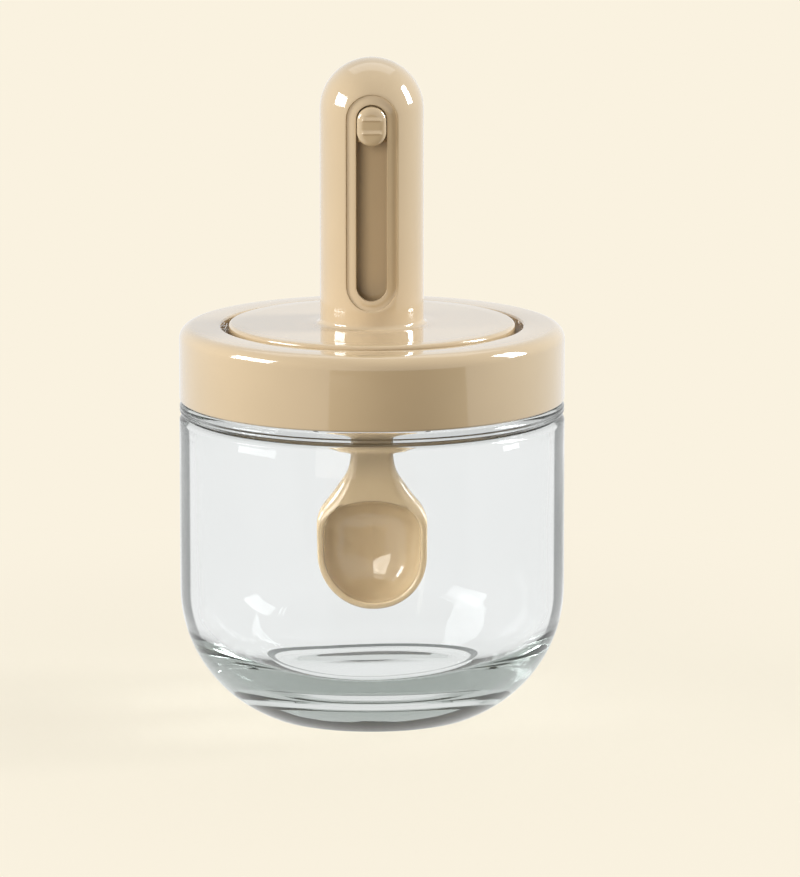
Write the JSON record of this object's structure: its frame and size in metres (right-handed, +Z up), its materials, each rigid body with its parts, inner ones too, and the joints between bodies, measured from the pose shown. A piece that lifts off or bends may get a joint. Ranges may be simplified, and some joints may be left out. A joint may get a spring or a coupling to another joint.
{
  "type": "seasoning jar",
  "caption": "Round glass seasoning jar with a screw collar and a lift-out lid; its upright handle holds a sliding spoon moved by a thumb button.",
  "frame": {"origin": "centre of the jar's foot, on the surface it stands on", "axes": "+Z up along the jar's axis; -Y is the front, which the slot, the thumb button and the spoon's hollow face"},
  "size_m": [0.0816, 0.0816, 0.14],
  "materials": {
    "clear_glass": "clear and glossy",
    "beige_plastic": "glossy moulded beige",
    "inner_plastic": "satin moulded beige",
    "silicone": "translucent matt silicone",
    "spring_steel": "rolled strip"
  },
  "bodies": {
    "jar": {"glass_jar": "clear_glass"},
    "gasket": {"collar_gasket": "silicone"},
    "collar": {"screw_collar": "beige_plastic"},
    "lid": {"lid_handle": "beige_plastic", "lid_plug": "inner_plastic", "lid_seal": "silicone", "shank_wiper": "silicone"},
    "spoon_slide": {"spoon": "beige_plastic", "carriage": "inner_plastic", "slide_button": "beige_plastic", "detent_spring": "spring_steel"}
  },
  "joints": [
    {"name": "collar_rise", "type": "slide", "parent": "jar", "child": "gasket", "axis": [0, 0, 1], "range_m": [0, 0.0042]},
    {"name": "collar_turn", "type": "hinge", "parent": "gasket", "child": "collar", "pos_m": [0, 0, 0.08], "axis": [0, 0, 1], "range_deg": [0, 360]},
    {"name": "lid_lift", "type": "slide", "parent": "collar", "child": "lid", "axis": [0, 0, 1], "range_m": [0, 0.1]},
    {"name": "spoon_extend", "type": "slide", "parent": "lid", "child": "spoon_slide", "axis": [0, 0, -1], "range_m": [0, 0.0325]}
  ],
  "couplings": [
    {"joint": "collar_rise", "follows": "collar_turn", "m_per_rad": 0.00066845},
    {"joint": "spoon_extend", "follows": "lid_lift", "ratio": 0.325}
  ]
}
